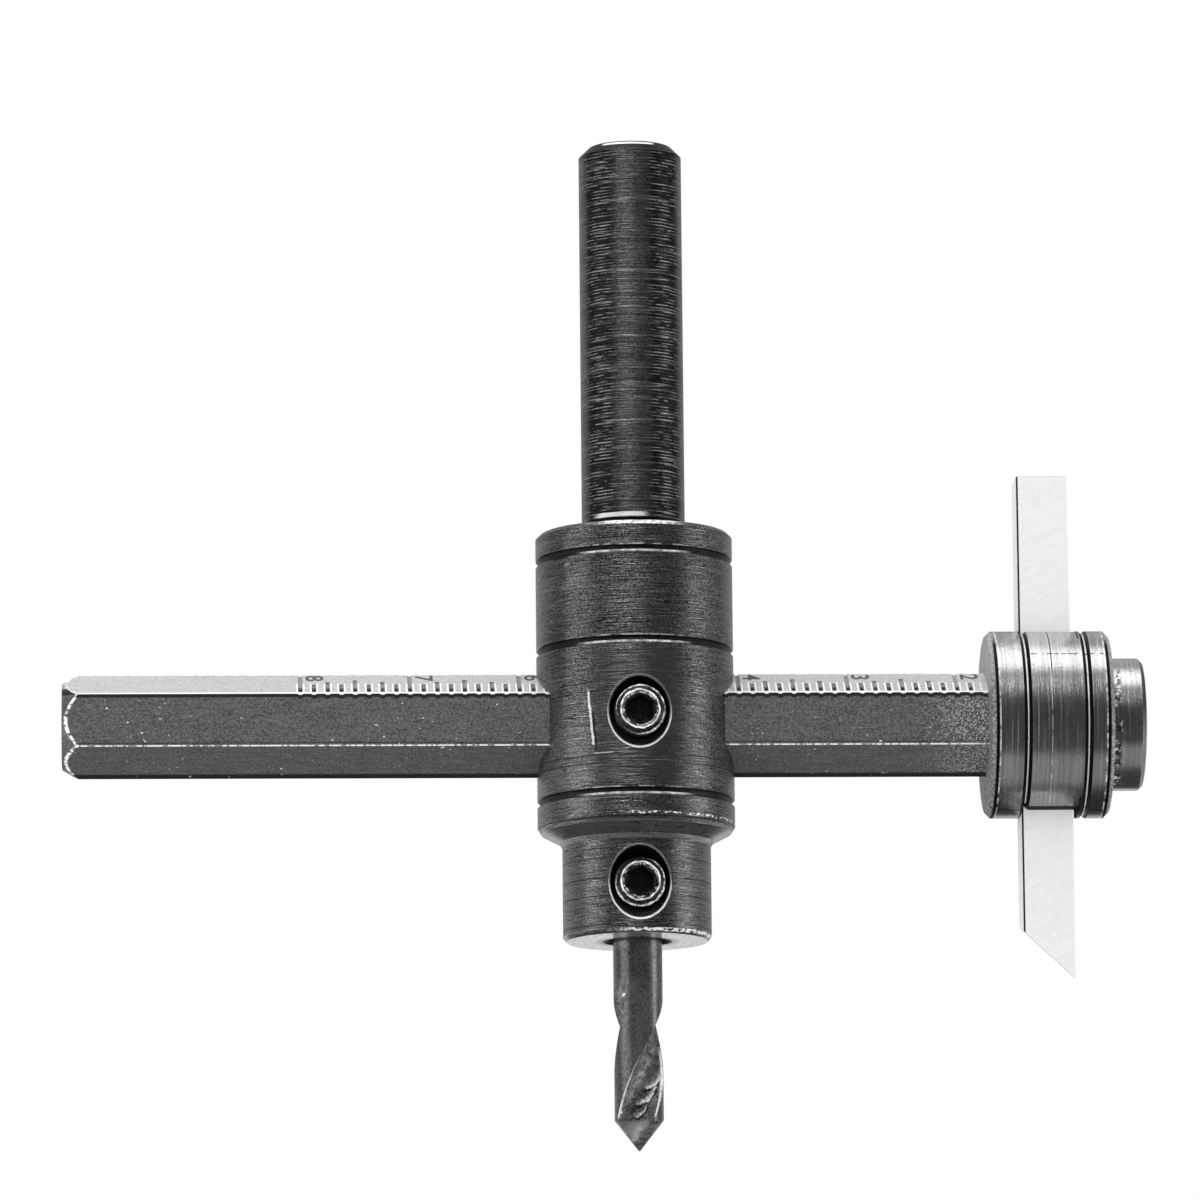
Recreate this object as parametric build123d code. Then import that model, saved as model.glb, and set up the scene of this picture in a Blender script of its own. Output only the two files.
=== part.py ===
from build123d import *
import math
import os

# Adjustable circle cutter. A round shank is pressed into a body. A hexagonal beam slides
# crosswise through the body and carries a head with a square tool bit in it. A twist drill
# in the body's foot guides the cut. Socket set screws lock the beam, the drill and the bit.
# Millimetres. The origin is the centre of the body's top face, where the shank leaves it.
# +Z runs up along the shank, +X along the beam to the bit, and -Y is the front, the side of
# the body's set screws and of the bit's cutting face. Seen from above it cuts clockwise.

os.makedirs("parts", exist_ok=True)

# Shank
SHANK_D = 12.7
SHANK_RISE = 48.8          # above the body's top face
SHANK_CHAMFER = 1.2
SHANK_STEP = 0.35          # the part pressed into the body is thinner by this radius
SHANK_WEB = 2.1            # metal left between the shank's seat and the beam's hole

# Body, with heights from the beam's axis
BODY_D = 24.2
BODY_TOP = 23.6            # up to the top face
BODY_CHAMFER = 0.5
SKIRT_DROP = 13.16         # down to where the full diameter would meet the shoulder
SHOULDER_STEP = 3.0        # the foot's radius is less by this much
SHOULDER_SLOPE = 27.8      # degrees below level
SHOULDER_BEVEL = 0.5        # along the skirt and along the shoulder
FOOT_BEVEL = 0.4           # along the shoulder and along the foot
FOOT_DROP = 26.7           # down to the bottom face
FOOT_EDGE = 0.5
GROOVE_W = 0.95
GROOVE_DEPTH = 0.3
GROOVE_WALL = 0.12         # height of each sloping wall
TOP_GROOVE_INSET = 3.55    # below the top face
MIDDLE_GROOVE_RISE = 8.86  # above the beam's axis
LOWER_GROOVE_DROP = 9.8    # below the beam's axis

# Beam, a hexagonal bar with one corner up
BEAM_AF = 11.11            # across its flats
BEAM_TAIL = 70.2           # length on the far side of the spindle axis, as stored
BEAM_FIT = 0.06            # clearance on each flat in the body
TAIL_CHAMFER = 2.0
TAIL_CHAMFER_ANGLE = 30.0  # degrees from the bar's axis
SPIGOT_STEP = 0.8          # the spigot's radius is less than half the flats by this much
SPIGOT_GAP = 0.1           # left at the spigot's end

# Scale on the beam's upper front face: one number step is eight marks
SCALE_STEP = 13.4
SCALE_PARTS = 8
SCALE_STEPS = 6
SCALE_INSET = 3.7          # first numbered mark from the head's face
MARK_W = 0.6
MARK_START = 0.6           # from the face's lower edge
MARK_OVERRUN = 0.4         # longest marks' cutter past the upper edge

# Head on the beam's end
REACH = 43.0               # its near face from the spindle axis, as stored
HEAD_D = 23.0
HEAD_CHAMFER = 0.6
NEAR_CHEEK = 4.05          # metal between the near face and the bit's slot
FAR_CHEEK = 3.95
RING_W = 0.75
NEAR_RING = 4.4            # from the near face
FAR_RING = 3.2             # from the far face
BOSS_D = 16.3
BOSS_L = 4.2
BOSS_CHAMFER = 0.5
SPIGOT_WEB = 0.45          # metal between the spigot's bore and the slot

# Tool bit, square, held upright in the head
BIT_SIDE = 6.35
BIT_RISE = 30.5            # its top above the beam's axis
BIT_DROP = 31.9            # its tip below the beam's axis
BIT_SLANT = 43.0           # degrees that the ground end rises from the tip inwards
BIT_RELIEF = 8.0
BIT_FIT = 0.05
BIT_SLACK = 0.6            # room on the screw's side of the slot

# Pilot drill, right-handed, with two hollow flutes
DRILL_D = 6.0
DRILL_OUT = 25.7           # from the body's bottom face to the point
DRILL_FIT = 0.05
DRILL_WEB = 1.7            # metal left between the drill's bore and the beam's hole
DRILL_HEADROOM = 0.5
MOUTH_D = 8.3              # countersink where the drill leaves the body
PLAIN_OUT = 5.05           # unfluted length below the body
LEAD = 40.9                # rise of the flutes in one turn
FLUTE_R = 3.6              # radius of a flute's hollow
FLUTE_AT_TIP = -138.0      # degrees round from +X to the middle of one flute at the tip
CORE_T = 1.7
WHEEL_R = 36.0             # the grinding wheel leaves the flutes along this arc
POINT_ANGLE = 76.0
POINT_OFFSET = 0.3         # each flank's cone stands this far ahead of the axis

# Socket set screws, and the tapped holes for them
SCREW_D = 6.24
SCREW_FIT = 0.08
SCREW_CHAMFER = 0.72
SCREW_TIP_D = 4.2
SOCKET_AF = 3.175
SOCKET_DEPTH = 2.9
TIP_GAP = 0.05
BEAM_SCREW_L = 7.94
DRILL_SCREW_L = 6.35
BIT_SCREW_L = 7.94
DRILL_SCREW_RISE = 6.25    # above the body's bottom face
BEAM_SINK_D = 8.92         # rims of the countersinks
DRILL_SINK_D = 9.2
BIT_SINK_D = 7.4

# Places and sizes that follow
BEAM_Z = -BODY_TOP
FOOT_Z = BEAM_Z - FOOT_DROP
BODY_R = BODY_D / 2
FOOT_R = BODY_R - SHOULDER_STEP
HOLE_AF = BEAM_AF + 2 * BEAM_FIT
HOLE_CORNER = HOLE_AF / math.sqrt(3)
BEAM_CORNER = BEAM_AF / math.sqrt(3)
SHANK_FOOT_Z = BEAM_Z + HOLE_CORNER + SHANK_WEB
SEAT_R = SHANK_D / 2 - SHANK_STEP
SLOT_X = REACH + NEAR_CHEEK
SLOT_W = BIT_FIT + BIT_SIDE + BIT_SLACK
HEAD_L = NEAR_CHEEK + SLOT_W + FAR_CHEEK
BIT_X = SLOT_X + BIT_FIT
SPIGOT_R = BEAM_AF / 2 - SPIGOT_STEP
SPIGOT_BORE = NEAR_CHEEK - SPIGOT_WEB
TAP_R = SCREW_D / 2 + SCREW_FIT
DRILL_R = DRILL_D / 2
BORE_TOP_Z = BEAM_Z - HOLE_CORNER - DRILL_WEB
TIP_Z = FOOT_Z - DRILL_OUT
DRILL_SCREW_Z = FOOT_Z + DRILL_SCREW_RISE
BIG = 2.0                  # how far cutters run past a surface

UPWARD = (Align.CENTER, Align.CENTER, Align.MIN)
TO_FRONT = Rot(90, 0, 0)   # turns +Z to -Y
TO_BIT = Rot(0, 90, 0)     # turns +Z to +X


def turned(points):
    """Solid turned about Z from points (radius, height), from axis to axis."""
    return revolve(Plane.XZ * make_face(Polyline(*points, close=True)), Axis.Z)


def hexagon(across_flats):
    """Hexagon standing across X with a corner up."""
    return Plane.YZ * RegularPolygon(across_flats / 2, 6, major_radius=False, rotation=30)


def make_shank():
    radius = SHANK_D / 2
    return turned([
        (0, SHANK_FOOT_Z),
        (SEAT_R, SHANK_FOOT_Z),
        (SEAT_R, 0),
        (radius, 0),
        (radius, SHANK_RISE - SHANK_CHAMFER),
        (radius - SHANK_CHAMFER, SHANK_RISE),
        (0, SHANK_RISE),
    ])


def front_hole(height, surface_r, rim_r):
    """Tapped hole from the spindle axis to the front, with its 90 degree countersink."""
    sink_h = rim_r - TAP_R
    hole = Cylinder(TAP_R, surface_r + BIG, align=UPWARD)
    sink = Pos(0, 0, surface_r - sink_h) * Cone(TAP_R, rim_r + BIG, sink_h + BIG, align=UPWARD)
    return Pos(0, 0, height) * TO_FRONT * (hole + sink)


def make_body():
    shoulder_z = BEAM_Z - SKIRT_DROP
    foot_top_z = shoulder_z - SHOULDER_STEP * math.tan(math.radians(SHOULDER_SLOPE))
    points = [(0, 0), (BODY_R - BODY_CHAMFER, 0), (BODY_R, -BODY_CHAMFER)]
    floor_r = BODY_R - GROOVE_DEPTH
    for middle in (-TOP_GROOVE_INSET, BEAM_Z + MIDDLE_GROOVE_RISE, BEAM_Z - LOWER_GROOVE_DROP):
        points += [
            (BODY_R, middle + GROOVE_W / 2),
            (floor_r, middle + GROOVE_W / 2 - GROOVE_WALL),
            (floor_r, middle - GROOVE_W / 2 + GROOVE_WALL),
            (BODY_R, middle - GROOVE_W / 2),
        ]
    slope = math.radians(SHOULDER_SLOPE)
    run, fall = math.cos(slope), math.sin(slope)
    points += [
        (BODY_R, shoulder_z + SHOULDER_BEVEL),
        (BODY_R - SHOULDER_BEVEL * run, shoulder_z - SHOULDER_BEVEL * fall),
        (FOOT_R + FOOT_BEVEL * run, foot_top_z + FOOT_BEVEL * fall),
        (FOOT_R, foot_top_z - FOOT_BEVEL),
        (FOOT_R, FOOT_Z + FOOT_EDGE),
        (FOOT_R - FOOT_EDGE, FOOT_Z),
        (0, FOOT_Z),
    ]
    barrel = turned(points)

    beam_hole = extrude(hexagon(HOLE_AF), BODY_R + BIG, both=True)
    shank_seat = Pos(0, 0, SHANK_FOOT_Z) * Cylinder(SEAT_R, -SHANK_FOOT_Z + BIG, align=UPWARD)
    bore_r = DRILL_R + DRILL_FIT
    mouth_r = MOUTH_D / 2
    bore = Pos(0, 0, FOOT_Z - BIG) * Cylinder(bore_r, BORE_TOP_Z - FOOT_Z + BIG, align=UPWARD)
    mouth_h = mouth_r - bore_r
    mouth = Pos(0, 0, FOOT_Z - BIG) * Cone(mouth_r + BIG, bore_r, mouth_h + BIG, align=UPWARD)
    barrel -= Pos(0, 0, BEAM_Z) * beam_hole
    barrel -= shank_seat
    barrel -= bore + mouth
    barrel -= front_hole(BEAM_Z, BODY_R, BEAM_SINK_D / 2)
    barrel -= front_hole(DRILL_SCREW_Z, FOOT_R, DRILL_SINK_D / 2)
    return barrel


def mark_share(index):
    """Share of the face's width that a scale mark reaches, by its place in a number step."""
    place = index % SCALE_PARTS
    if place == 0:
        return 1.0
    if place == SCALE_PARTS // 2:
        return 0.72
    if place % 2 == 0:
        return 0.62
    return 0.49


def scale_marks():
    """V-shaped cutters for the marks on the beam's upper front face, from near its lower edge up."""
    face = Plane(
        origin=(0, -BEAM_AF / 2, BEAM_Z + BEAM_CORNER / 2),
        x_dir=(1, 0, 0),
        z_dir=(0, -math.sin(math.radians(30)), math.cos(math.radians(30))),
    )
    first_x = REACH - SCALE_INSET
    blade = MARK_W / math.sqrt(2)
    cutters = []
    for index in range(-1, SCALE_STEPS * SCALE_PARTS + 1):
        share = mark_share(index)
        end = BEAM_CORNER * share + (MARK_OVERRUN if share == 1 else 0)
        x = first_x - index * SCALE_STEP / SCALE_PARTS
        place = Pos(x, (MARK_START + end) / 2, 0) * Rot(0, 45, 0)
        cutters.append(face * place * Box(blade, end - MARK_START, blade))
    return cutters


def make_beam():
    length = BEAM_TAIL + REACH
    taper = math.tan(math.radians(TAIL_CHAMFER_ANGLE))
    end_r = BEAM_CORNER - TAIL_CHAMFER * taper
    bar = extrude(hexagon(BEAM_AF), length)
    bar &= TO_BIT * Cone(end_r, end_r + length * taper, length, align=UPWARD)
    bar = Pos(-BEAM_TAIL, 0, BEAM_Z) * bar
    bar -= scale_marks()
    spigot_l = SPIGOT_BORE - SPIGOT_GAP
    spigot = Cylinder(SPIGOT_R, spigot_l, align=UPWARD)
    return bar + Pos(REACH, 0, BEAM_Z) * TO_BIT * spigot


def make_tool_head():
    radius = HEAD_D / 2
    boss_r = BOSS_D / 2
    end = HEAD_L + BOSS_L
    points = [(0, 0), (radius - HEAD_CHAMFER, 0), (radius, HEAD_CHAMFER)]
    for ring in (NEAR_RING, HEAD_L - FAR_RING):
        points += [(radius, ring - RING_W / 2), (radius - RING_W / 2, ring), (radius, ring + RING_W / 2)]
    points += [
        (radius, HEAD_L - HEAD_CHAMFER),
        (radius - HEAD_CHAMFER, HEAD_L),
        (boss_r, HEAD_L),
        (boss_r, end - BOSS_CHAMFER),
        (boss_r - BOSS_CHAMFER, end),
        (0, end),
    ]
    head = turned(points)
    head -= Cylinder(SPIGOT_R, SPIGOT_BORE, align=UPWARD)
    sink_h = BIT_SINK_D / 2 - TAP_R
    head -= Pos(0, 0, NEAR_CHEEK) * Cylinder(TAP_R, end - NEAR_CHEEK + BIG, align=UPWARD)
    sink = Cone(TAP_R, BIT_SINK_D / 2 + BIG, sink_h + BIG, align=UPWARD)
    head -= Pos(0, 0, end - sink_h) * sink
    head = Pos(REACH, 0, BEAM_Z) * TO_BIT * head
    slot = Box(SLOT_W, BIT_SIDE + 2 * BIT_FIT, HEAD_D + BIG)
    return head - Pos(SLOT_X + SLOT_W / 2, 0, BEAM_Z) * slot


def make_tool_bit():
    half = BIT_SIDE / 2
    bar = Pos(BIT_X + half, 0, BEAM_Z - BIT_DROP) * Box(
        BIT_SIDE, BIT_SIDE, BIT_RISE + BIT_DROP, align=UPWARD
    )
    slant = math.radians(BIT_SLANT)
    relief = math.radians(BIT_RELIEF)
    ground = Plane(
        origin=(BIT_X + BIT_SIDE, -half, BEAM_Z - BIT_DROP),
        x_dir=(-math.cos(slant), 0, math.sin(slant)),
        z_dir=(
            -math.sin(slant) * math.cos(relief),
            math.sin(relief),
            -math.cos(slant) * math.cos(relief),
        ),
    )
    return split(bar, bisect_by=ground, keep=Keep.BOTTOM)


def polar(radius, degrees):
    angle = math.radians(degrees)
    return (radius * math.cos(angle), radius * math.sin(angle))


def flute_cutter(turn, start_z, lift_z, end_z):
    """One flute: round slices up the helix that move outwards along the wheel's arc."""
    slices = []
    steps = 8
    seam = turn + 180 * (end_z - start_z) / LEAD    # where each circle starts, clear of the rod
    for step in range(steps + 1):
        height = start_z + (end_z - start_z) * step / steps
        climb = max(0, height - lift_z)
        outward = WHEEL_R - math.sqrt(WHEEL_R ** 2 - climb ** 2)
        middle = polar(CORE_T / 2 + FLUTE_R + outward, turn + 360 * (height - TIP_Z) / LEAD)
        slices.append(Pos(middle[0], middle[1], height) * Rot(0, 0, seam) * Circle(FLUTE_R))
    return loft(slices)


def make_pilot_drill():
    top_z = BORE_TOP_Z - DRILL_HEADROOM
    rod = turned([
        (0, TIP_Z),
        (DRILL_R, TIP_Z),
        (DRILL_R, top_z),
        (0, top_z),
    ])

    # Each half of the point is a cone whose axis stands ahead of its lip, for clearance.
    slope = 1 / math.tan(math.radians(POINT_ANGLE / 2))
    middle_r = CORE_T / 2 + FLUTE_R
    half_flute = math.degrees(math.acos(
        (DRILL_R ** 2 + middle_r ** 2 - FLUTE_R ** 2) / (2 * DRILL_R * middle_r)
    ))
    lip = FLUTE_AT_TIP + half_flute + 360 * DRILL_R * slope / LEAD
    cone_h = top_z - TIP_Z + BIG
    for side in (90, -90):
        ahead = polar(POINT_OFFSET, lip - side)
        flank = Cone(0, cone_h / slope, cone_h, align=UPWARD)
        rod &= Pos(ahead[0], ahead[1], TIP_Z - slope * POINT_OFFSET) * flank

    depth = DRILL_R - CORE_T / 2
    flute_top_z = FOOT_Z - PLAIN_OUT
    lift_z = flute_top_z - math.sqrt(2 * WHEEL_R * depth - depth ** 2)
    for turn in (FLUTE_AT_TIP, FLUTE_AT_TIP + 180):
        rod -= flute_cutter(turn, TIP_Z - BIG, lift_z, flute_top_z + BIG / 2)
    return rod


def set_screw(length):
    """Socket set screw along +Z, its flat point at zero and its socket at the far end."""
    radius = SCREW_D / 2
    tip_r = SCREW_TIP_D / 2
    screw = turned([
        (0, 0),
        (tip_r, 0),
        (radius, radius - tip_r),
        (radius, length - SCREW_CHAMFER),
        (radius - SCREW_CHAMFER, length),
        (0, length),
    ])
    hexagon_key = RegularPolygon(SOCKET_AF / 2, 6, major_radius=False, rotation=30)
    socket = extrude(hexagon_key, SOCKET_DEPTH + BIG)
    return screw - Pos(0, 0, length - SOCKET_DEPTH) * socket


def make_beam_screw():
    return Pos(0, -BEAM_AF / 2 - TIP_GAP, BEAM_Z) * TO_FRONT * set_screw(BEAM_SCREW_L)


def make_drill_screw():
    return Pos(0, -DRILL_R - TIP_GAP, DRILL_SCREW_Z) * TO_FRONT * set_screw(DRILL_SCREW_L)


def make_bit_screw():
    return Pos(BIT_X + BIT_SIDE + TIP_GAP, 0, BEAM_Z) * TO_BIT * set_screw(BIT_SCREW_L)


NODES = {
    "shank": make_shank,
    "body": make_body,
    "beam": make_beam,
    "tool_head": make_tool_head,
    "tool_bit": make_tool_bit,
    "pilot_drill": make_pilot_drill,
    "beam_screw": make_beam_screw,
    "drill_screw": make_drill_screw,
    "bit_screw": make_bit_screw,
}

for node, make in NODES.items():
    export_step(make(), f"parts/{node}.step")
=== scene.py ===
import math
import bmesh
import bpy
from mathutils import Matrix, Vector


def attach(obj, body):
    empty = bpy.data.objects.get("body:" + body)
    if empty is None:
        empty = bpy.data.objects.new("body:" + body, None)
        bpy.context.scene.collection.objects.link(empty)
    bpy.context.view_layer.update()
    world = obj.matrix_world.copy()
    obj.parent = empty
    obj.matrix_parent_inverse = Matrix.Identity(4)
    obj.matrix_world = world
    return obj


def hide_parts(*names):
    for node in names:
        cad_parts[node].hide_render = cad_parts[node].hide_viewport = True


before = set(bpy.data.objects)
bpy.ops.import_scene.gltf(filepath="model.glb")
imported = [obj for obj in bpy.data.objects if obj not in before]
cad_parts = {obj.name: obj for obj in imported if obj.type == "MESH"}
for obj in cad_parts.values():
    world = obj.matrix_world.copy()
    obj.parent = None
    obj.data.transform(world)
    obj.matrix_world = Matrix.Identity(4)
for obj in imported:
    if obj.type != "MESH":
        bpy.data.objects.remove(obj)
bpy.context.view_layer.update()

# The circle cutter dressed for its portrait. Sizes are in millimetres in the CAD's frame, and
# are turned into metres where a mesh or a pattern is placed.
MM = 0.001

# Shank and body
SHANK_TOP = 48.8
SHANK_CHAMFER = 1.2
BODY_R = 12.1
GROOVES = (-3.55, -14.74, -33.4)       # heights of the three turned grooves
SKIRT_Z = -36.76                       # where the body's full width ends
FOOT_R = 9.1
FOOT_Z = -50.3                         # the sole
BEAM_SINK_R = 4.46                     # rims of the front countersinks
DRILL_SINK_R = 4.6
MOUTH_R = 4.15                         # countersink round the drill in the sole
TURNED_LINES = (-28.9, -29.9, -41.05, -43.5, -45.7, -49.2)     # single deeper ones
NICK_X = -5.9                          # an upright nick beside the upper countersink
NICK_Z = -24.3

# Head and bit
HEAD_X = 43.0                          # the head's near face
HEAD_L = 15.0
HEAD_R = 11.5
NEAR_RING = 4.4                        # grooves and slot, from the near face
FAR_RING = 11.8
SLOT_ENDS = (4.05, 11.05)
BOSS_L = 4.2
BOSS_R = 8.15
BIT_X = 50.275                         # the bit's middle
BIT_HALF = 3.175
BIT_TOP = 6.9

# Beam and its scale
BEAM_Z = -23.6
BEAM_FLAT = 5.555                      # from the beam's axis to a flat
COS_30 = math.cos(math.radians(30))
SIN_30 = 0.5
BEAM_CORNER = BEAM_FLAT / COS_30
TAIL_X = -70.2                         # the beam's free end
TAIL_R = 5.26                          # of the end face inside its chamfer
TAIL_SLOPE = math.tan(math.radians(30))
SCALE_STEP = 13.4
SCALE_PARTS = 8
DIGITS = "2345678"
FIRST_MARK_X = HEAD_X - 3.7
LAST_MARK_X = FIRST_MARK_X - (len(DIGITS) - 1) * SCALE_STEP
DIGIT_SIZE = 3.05
DIGIT_STRETCH = 1.3                    # of its width, up the beam's face
DIGIT_BOLD = 0.05
DIGIT_DEPTH = 0.06
DIGIT_SINK = 0.018                     # its middle, below the face
DIGIT_SHIFT = 0.7                      # from its mark
DIGIT_UP = BEAM_CORNER - 1.15          # its middle, from the lower edge of the face

# Drill
DRILL_R = 3.0
POINT_Z = -72.2                        # where the point begins
CHIPS = ((1.75, -66.9, 0.95), (0.75, -69.0, 0.95), (0.1, -71.0, 0.6))      # x, z and size
DOTS = ((-2.28, -71.35), (-1.83, -57.04))

# Set screws
SCREW_R = 3.12                         # crest and root of the thread
SCREW_ROOT_R = 2.5
SCREW_TIP_R = 2.1
SCREW_RIM_R = 2.4                      # of the socket's end inside its chamfer
SCREW_PITCH = 1.27
SCREW_SEGMENTS = 60
ROWS_A_TURN = 6                        # of the mesh, along one turn of the thread
CREST_SHARE = 0.2                      # of half the pitch
FLANK_SHARE = 0.65
SOCKET_CORNER = 3.175 / math.sqrt(3)
SOCKET_DEPTH = 2.9
TIP_GAP = 0.05                         # between a screw's point and what it clamps
DRILL_SCREW_Z = FOOT_Z + 6.25


# Camera

lens = bpy.data.cameras.new("camera")
lens.sensor_width = 36.0
lens.lens = 264.5
camera = bpy.data.objects.new("camera", lens)
camera.location = (-0.0504, -1.067, -0.1948)
camera.rotation_euler = [math.radians(angle) for angle in (99.927, 0.535, -2.386)]
bpy.context.scene.collection.objects.link(camera)
bpy.context.scene.camera = camera
bpy.context.scene.view_settings.view_transform = "Standard"


# Shader maths

class Value:
    """A socket in a node tree. Arithmetic on it adds Math nodes."""

    def __init__(self, nodes, socket):
        self.nodes = nodes
        self.socket = socket

    def math(self, operation, *terms):
        return self.nodes.node("Math", {"operation": operation}, dict(enumerate(terms)))

    def __add__(self, other):
        return self.math("ADD", self, other)

    def __sub__(self, other):
        return self.math("SUBTRACT", self, other)

    def __rsub__(self, other):
        return self.math("SUBTRACT", other, self)

    def __mul__(self, other):
        return self.math("MULTIPLY", self, other)

    def __pow__(self, other):
        return self.math("POWER", self, other)

    __radd__ = __add__
    __rmul__ = __mul__

    def lowest(self, *others):
        result = self
        for other in others:
            result = self.math("MINIMUM", result, other)
        return result

    def highest(self, *others):
        result = self
        for other in others:
            result = self.math("MAXIMUM", result, other)
        return result

    def off(self, level):
        """How far the value is from a level."""
        return self.math("ABSOLUTE", self - level)

    def off_nearest(self, levels):
        """How far the value is from the nearest of the levels."""
        return Value.lowest(*[self.off(level) for level in levels])

    def swing(self, reach):
        """How far the value is from the nearest even multiple of the reach."""
        return self.math("PINGPONG", self, reach)

    def rise(self, start, end):
        """0 at start, 1 at end and smooth between them. End may be below start."""
        settings = {"interpolation_type": "SMOOTHSTEP"}
        return self.nodes.node("MapRange", settings, {0: self, 1: start, 2: end})

    def line(self, level, outer, inner):
        """1 within the inner distance of a level, and 0 beyond the outer one."""
        return self.off(level).rise(outer, inner)

    def spread(self):
        """Noise stretched to run from 0 to 1."""
        return self.rise(0.3, 0.7)


class Nodes:
    """A node tree that is filled in code."""

    def __init__(self, tree):
        self.tree = tree

    def node(self, kind, settings, feeds, output=0):
        """Adds a node, with its settings first, then its sockets' values or links."""
        added = self.tree.nodes.new("ShaderNode" + kind)
        for name, setting in settings.items():
            setattr(added, name, setting)
        for name, feed in feeds.items():
            self.feed(added.inputs[name], feed)
        if isinstance(output, tuple):
            return [Value(self, added.outputs[name]) for name in output]
        return Value(self, added.outputs[output])

    def feed(self, socket, feed):
        if isinstance(feed, Value):
            self.tree.links.new(feed.socket, socket)
        else:
            socket.default_value = feed


class Finish(Nodes):
    """A material. x, y and z are the place on the object in millimetres."""

    def __init__(self, name):
        self.material = bpy.data.materials.new(name)
        self.material.use_nodes = True
        super().__init__(self.material.node_tree)
        self.shader = self.tree.nodes["Principled BSDF"]
        metres = self.node("TexCoord", {}, {}, "Object")
        scaled = {"Vector": metres, "Scale": 1 / MM}
        self.place = self.node("VectorMath", {"operation": "SCALE"}, scaled)
        self.x, self.y, self.z = self.node("SeparateXYZ", {}, {0: self.place}, ("X", "Y", "Z"))

    def noise(self, per_mm, detail=2.0, roughness=0.5, place=None):
        """Noise between about 0.25 and 0.75, with so many spots in a millimetre each way."""
        multiplied = {0: place or self.place, 1: per_mm}
        return self.node("TexNoise", {}, {
            "Vector": self.node("VectorMath", {"operation": "MULTIPLY"}, multiplied),
            "Scale": 1.0, "Detail": detail, "Roughness": roughness,
        })

    def edge_patches(self, size):
        """Uneven patches along an edge, of about so many millimetres, for rubbing and painted
        highlights.
        """
        return self.noise((1 / size, 1 / size, 1 / size), 3.0).rise(0.38, 0.56)

    def distance(self, across, up, across_0=0.0, up_0=0.0):
        """Distance from a line that is seen as a point in two of the axes."""
        squares = (across - across_0) ** 2.0 + (up - up_0) ** 2.0
        return squares.math("SQRT", squares)

    def mix(self, factor, first, second):
        """From the first grey or colour at 0 to the second at 1."""
        return self.node("Mix", {"data_type": "RGBA"}, {
            "Factor": factor, "A": self.colour(first), "B": self.colour(second),
        }, 2)

    def colour(self, grey):
        """Steel's faintly cool tint of a grey. A Value passes as it is."""
        if isinstance(grey, Value):
            return grey
        return (grey, grey, grey * 1.015, 1.0)

    def bump(self, height, depth):
        """Relief from a height between 0 and 1, for a depth in millimetres."""
        return self.node("Bump", {}, {"Height": height, "Strength": 1.0, "Distance": depth * MM})

    def finish(self, colour, roughness, metallic=None, normal=None):
        self.feed(self.shader.inputs["Base Color"], colour)
        self.feed(self.shader.inputs["Roughness"], roughness)
        if metallic is not None:
            self.feed(self.shader.inputs["Metallic"], metallic)
        if normal is not None:
            self.feed(self.shader.inputs["Normal"], normal)
        return self.material


# Finishes. Each one gathers masks between 0 and 1: the pale ones show worn metal and painted
# highlights, and the dark ones show dirt and painted shade in hollows and under edges.

def blackened_shank():
    """Black oxide with the turning tool's feed marks rubbed bright, painted dark flanks and
    painted highlights.
    """
    f = Finish("black_shank")
    lines = f.noise((0.1, 0.1, 4.0), 4.0, 0.65)
    hair = f.noise((0.25, 0.25, 14.0), 1.0)
    scratch = f.noise((0.04, 0.04, 2.2), 1.0)
    grain = f.noise((4.0, 4.0, 6.0), 2.0)
    dashes = f.noise((0.7, 0.7, 2.3), 3.0)
    cloud = f.noise((0.3, 0.3, 0.2))

    # Feed marks of the turning tool, strongest on both flanks, and rings on the end. Both flanks
    # are painted dark as a reflection, which leaves a lighter painted sheen down the middle.
    dark_flanks = f.x.off(-0.2).rise(1.4, 3.0) * f.x.off(0.0).rise(5.9, 5.2)
    feed = (f.z + cloud * 0.3).swing(0.2).rise(0.11, 0.18)
    feed = feed * lines.rise(0.34, 0.56) * dashes.rise(0.4, 0.56) * (dark_flanks * 0.8 + 0.2)
    feed = feed * (grain.rise(0.3, 0.5) * 0.5 + 0.5)
    scratched = scratch.line(0.6, 0.012, 0.003) * grain.rise(0.25, 0.45)
    rings = f.distance(f.x, f.y).swing(0.22).rise(0.06, 0.18)
    rings = rings * f.z.rise(SHANK_TOP - 0.03, SHANK_TOP) * grain.rise(0.3, 0.5)

    # Painted highlights where the chamfer and the foot catch light, painted shade over the chamfer
    # and the top, and a painted shade line just below the foot
    top = f.z.line(SHANK_TOP - 0.3, 0.17, 0.1) * f.x.line(-0.4, 3.4, 2.8)
    foot = f.z.line(1.75, 0.33, 0.22) * f.x.line(-1.7, 3.6, 2.4)
    wear_and_highlights = top.highest(foot)
    chamfer_z = SHANK_TOP - SHANK_CHAMFER
    chamfer = f.z.rise(chamfer_z - 0.1, chamfer_z + 0.1)
    foot_dark = f.z.line(1.2, 0.3, 0.15)

    black = f.mix(lines.rise(0.35, 0.62) * 0.3 + grain.spread() * 0.7, 0.035, 0.22)
    # Painted reflection: both flanks darkened nearly to black.
    black = f.mix(dark_flanks * 0.85, black, 0.004)
    black = f.mix((feed * 0.55).highest(scratched * 0.5), black, 0.8)
    # Painted shade on the chamfer, the top and just below the foot.
    black = f.mix(chamfer.highest(foot_dark), black, 0.01)
    black = f.mix(rings, black, 0.22)
    relief = f.bump(lines * 0.3 + hair * 0.7, 0.06)
    metallic = 0.92 - wear_and_highlights * 0.55 - feed * 0.25
    return f.finish(f.mix(wear_and_highlights, black, 0.92), cloud * 0.15 + 0.24, metallic, relief)


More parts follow.
